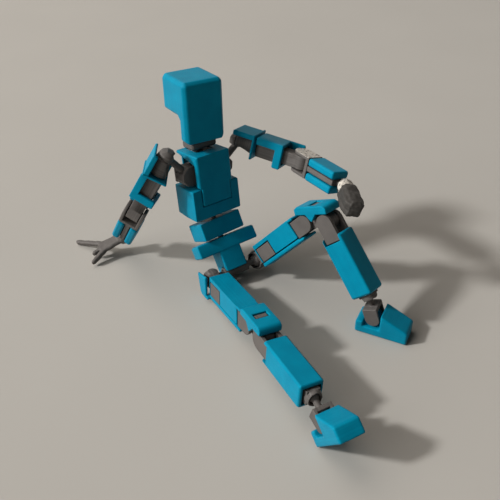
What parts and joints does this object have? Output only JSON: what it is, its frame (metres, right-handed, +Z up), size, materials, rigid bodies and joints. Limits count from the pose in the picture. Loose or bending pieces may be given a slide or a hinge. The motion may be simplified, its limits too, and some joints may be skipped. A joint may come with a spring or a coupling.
{
  "type": "articulated figure",
  "caption": "Seated blank-faced articulated figure: a grey snap-fit ball-joint skeleton with clipped-on teal armour, leaning on its open right hand.",
  "frame": {"origin": "middle of the seated figure's box, on the plane that the left foot stands on", "axes": "-Y the way the pelvis faces, +X the figure's left, +Z up; the figure is stored sitting as pictured"},
  "size_m": [0.0736, 0.123, 0.0636],
  "materials": {
    "armour": "satin printed plastic with fine layer lines",
    "frame": "matt printed plastic with fine layer lines"
  },
  "bodies": {
    "pelvis": {"pelvis_shell": "armour", "pelvis_frame": "frame"},
    "waist": {"waist_link": "frame"},
    "abdomen": {"abdomen_frame": "frame", "abdomen_shell": "armour"},
    "chest": {"chest_frame": "frame", "rib_shell": "armour", "chest_shell": "armour"},
    "neck": {"neck_link": "frame"},
    "head": {"head_shell": "armour"},
    "shoulder_left": {"shoulder_link_left": "frame"},
    "arm_left": {"arm_top_frame_left": "frame", "shoulder_armour_left": "armour"},
    "bicep_left": {"bicep_frame_left": "frame", "bicep_armour_left": "armour"},
    "forearm_left": {"forearm_frame_left": "frame", "forearm_plate_outer_left": "armour", "forearm_plate_inner_left": "armour"},
    "wrist_left": {"hand_left": "frame"},
    "shoulder_right": {"shoulder_link_right": "frame"},
    "arm_right": {"arm_top_frame_right": "frame", "shoulder_armour_right": "armour"},
    "bicep_right": {"bicep_frame_right": "frame", "bicep_armour_right": "armour"},
    "forearm_right": {"forearm_frame_right": "frame", "forearm_plate_outer_right": "armour", "forearm_plate_inner_right": "armour"},
    "wrist_right": {"hand_right": "frame"},
    "hip_left": {"hip_link_left": "frame"},
    "thigh_left": {"thigh_frame_left": "frame", "thigh_shell_front_left": "armour", "thigh_shell_back_left": "armour"},
    "knee_left": {"knee_link_left": "frame", "kneecap_left": "armour"},
    "shin_left": {"shin_frame_left": "frame", "shin_shell_left": "armour"},
    "ankle_left": {"ankle_link_left": "frame"},
    "sole_left": {"foot_left": "armour"},
    "hip_right": {"hip_link_right": "frame"},
    "thigh_right": {"thigh_frame_right": "frame", "thigh_shell_front_right": "armour", "thigh_shell_back_right": "armour"},
    "knee_right": {"knee_link_right": "frame", "kneecap_right": "armour"},
    "shin_right": {"shin_frame_right": "frame", "shin_shell_right": "armour"},
    "ankle_right": {"ankle_link_right": "frame"},
    "sole_right": {"foot_right": "armour"}
  },
  "joints": [
    {"name": "waist_turn", "type": "hinge", "parent": "pelvis", "child": "waist", "pos_m": [0.00193, 0.02299, 0.01103], "axis": [-0.0906, 0.609, 0.788], "range_deg": [-20, 20]},
    {"name": "waist_bend", "type": "hinge", "parent": "waist", "child": "abdomen", "pos_m": [0.00145, 0.02625, 0.01525], "axis": [0.9913, 0.131, 0.0128], "range_deg": [-10, 0]},
    {"name": "chest_bend", "type": "hinge", "parent": "abdomen", "child": "chest", "pos_m": [0.00081, 0.03041, 0.02217], "axis": [0.9913, 0.131, 0.0128], "range_deg": [-20, 0]},
    {"name": "neck_bend", "type": "hinge", "parent": "chest", "child": "neck", "pos_m": [0.00085, 0.03511, 0.03858], "axis": [0.9895, 0.1382, -0.0419], "range_deg": [-10, 10]},
    {"name": "head_turn", "type": "hinge", "parent": "neck", "child": "head", "pos_m": [0.00118, 0.03743, 0.0541], "axis": [0.0212, 0.1481, 0.9887], "range_deg": [-60, 60]},
    {"name": "shoulder_raise_left", "type": "hinge", "parent": "chest", "child": "shoulder_left", "pos_m": [0.00702, 0.03352, 0.03359], "axis": [0.1436, -0.9719, 0.1866], "range_deg": [-1, 25]},
    {"name": "arm_turn_left", "type": "hinge", "parent": "shoulder_left", "child": "arm_left", "pos_m": [0.01513, 0.03572, 0.03883], "axis": [0.8191, 0.2226, 0.5286], "range_deg": [-80, 45]},
    {"name": "bicep_turn_left", "type": "hinge", "parent": "arm_left", "child": "bicep_left", "pos_m": [0.01915, 0.02992, 0.03808], "axis": [-0.5654, 0.8181, 0.1049], "range_deg": [-1, 90]},
    {"name": "elbow_left", "type": "hinge", "parent": "bicep_left", "child": "forearm_left", "pos_m": [0.02769, 0.01756, 0.0365], "axis": [-0.2631, -0.0583, -0.963], "range_deg": [-35, 8]},
    {"name": "wrist_left", "type": "hinge", "parent": "forearm_left", "child": "wrist_left", "pos_m": [0.02972, -0.00222, 0.03714], "axis": [-0.1022, 0.9942, -0.0323], "range_deg": [-60, 60]},
    {"name": "shoulder_raise_right", "type": "hinge", "parent": "chest", "child": "shoulder_right", "pos_m": [-0.00505, 0.03183, 0.03411], "axis": [-0.1436, 0.9719, -0.1866], "range_deg": [-40, 8]},
    {"name": "arm_turn_right", "type": "hinge", "parent": "shoulder_right", "child": "arm_right", "pos_m": [-0.01136, 0.03236, 0.04171], "axis": [-0.6379, 0.0533, 0.7683], "range_deg": [-45, 45]},
    {"name": "bicep_turn_right", "type": "hinge", "parent": "arm_right", "child": "bicep_right", "pos_m": [-0.01466, 0.0339, 0.03561], "axis": [-0.4647, 0.2163, -0.8587], "range_deg": [-60, 60]},
    {"name": "elbow_right", "type": "hinge", "parent": "bicep_right", "child": "forearm_right", "pos_m": [-0.02168, 0.03716, 0.02265], "axis": [-0.6265, 0.6049, 0.4914], "range_deg": [0, 105]},
    {"name": "wrist_right", "type": "hinge", "parent": "forearm_right", "child": "wrist_right", "pos_m": [-0.0233, 0.04863, 0.00647], "axis": [-0.0815, 0.5762, -0.8132], "range_deg": [-60, 60]},
    {"name": "hip_turn_left", "type": "hinge", "parent": "pelvis", "child": "hip_left", "pos_m": [0.01091, 0.01669, 0.00492], "axis": [0.9979, 0.0395, 0.0511], "range_deg": [-3, 60]},
    {"name": "thigh_spread_left", "type": "hinge", "parent": "hip_left", "child": "thigh_left", "pos_m": [0.01091, 0.01669, 0.00492], "axis": [0, 0.7912, -0.6115], "range_deg": [-10, 2]},
    {"name": "knee_upper_left", "type": "hinge", "parent": "thigh_left", "child": "knee_left", "pos_m": [0.01983, 0.001, 0.02646], "axis": [0.93, 0.3412, -0.1365], "range_deg": [-12, 40]},
    {"name": "knee_lower_left", "type": "hinge", "parent": "knee_left", "child": "shin_left", "pos_m": [0.02262, -0.00536, 0.02955], "axis": [0.93, 0.3412, -0.1365], "range_deg": [-25, 5]},
    {"name": "ankle_turn_left", "type": "hinge", "parent": "shin_left", "child": "ankle_left", "pos_m": [0.02619, -0.02215, 0.01192], "axis": [-0.2024, 0.2858, 0.9367], "range_deg": [-45, 45]},
    {"name": "ankle_bend_left", "type": "hinge", "parent": "ankle_left", "child": "sole_left", "pos_m": [0.02765, -0.02421, 0.00518], "axis": [0.8161, 0.5779, 0], "range_deg": [-20, 25]},
    {"name": "hip_turn_right", "type": "hinge", "parent": "pelvis", "child": "hip_right", "pos_m": [-0.00585, 0.01602, 0.00407], "axis": [0.9979, 0.0395, 0.0511], "range_deg": [-45, 60]},
    {"name": "thigh_spread_right", "type": "hinge", "parent": "hip_right", "child": "thigh_right", "pos_m": [-0.00585, 0.01602, 0.00407], "axis": [0, -0.7912, 0.6115], "range_deg": [-10, 10]},
    {"name": "knee_upper_right", "type": "hinge", "parent": "thigh_right", "child": "knee_right", "pos_m": [-0.00666, -0.01181, 0.00781], "axis": [0.9953, -0.0407, -0.0876], "range_deg": [-3, 70]},
    {"name": "knee_lower_right", "type": "hinge", "parent": "knee_right", "child": "shin_right", "pos_m": [-0.00692, -0.01939, 0.00836], "axis": [0.9953, -0.0407, -0.0876], "range_deg": [-2, 70]},
    {"name": "ankle_turn_right", "type": "hinge", "parent": "shin_right", "child": "ankle_right", "pos_m": [-0.00785, -0.04395, 0.00929], "axis": [-0.0216, -0.9537, -0.3001], "range_deg": [-45, 45]},
    {"name": "ankle_bend_right", "type": "hinge", "parent": "ankle_right", "child": "sole_right", "pos_m": [-0.008, -0.05082, 0.00713], "axis": [0.9992, -0.0306, 0.0253], "range_deg": [-20, 25]}
  ]
}
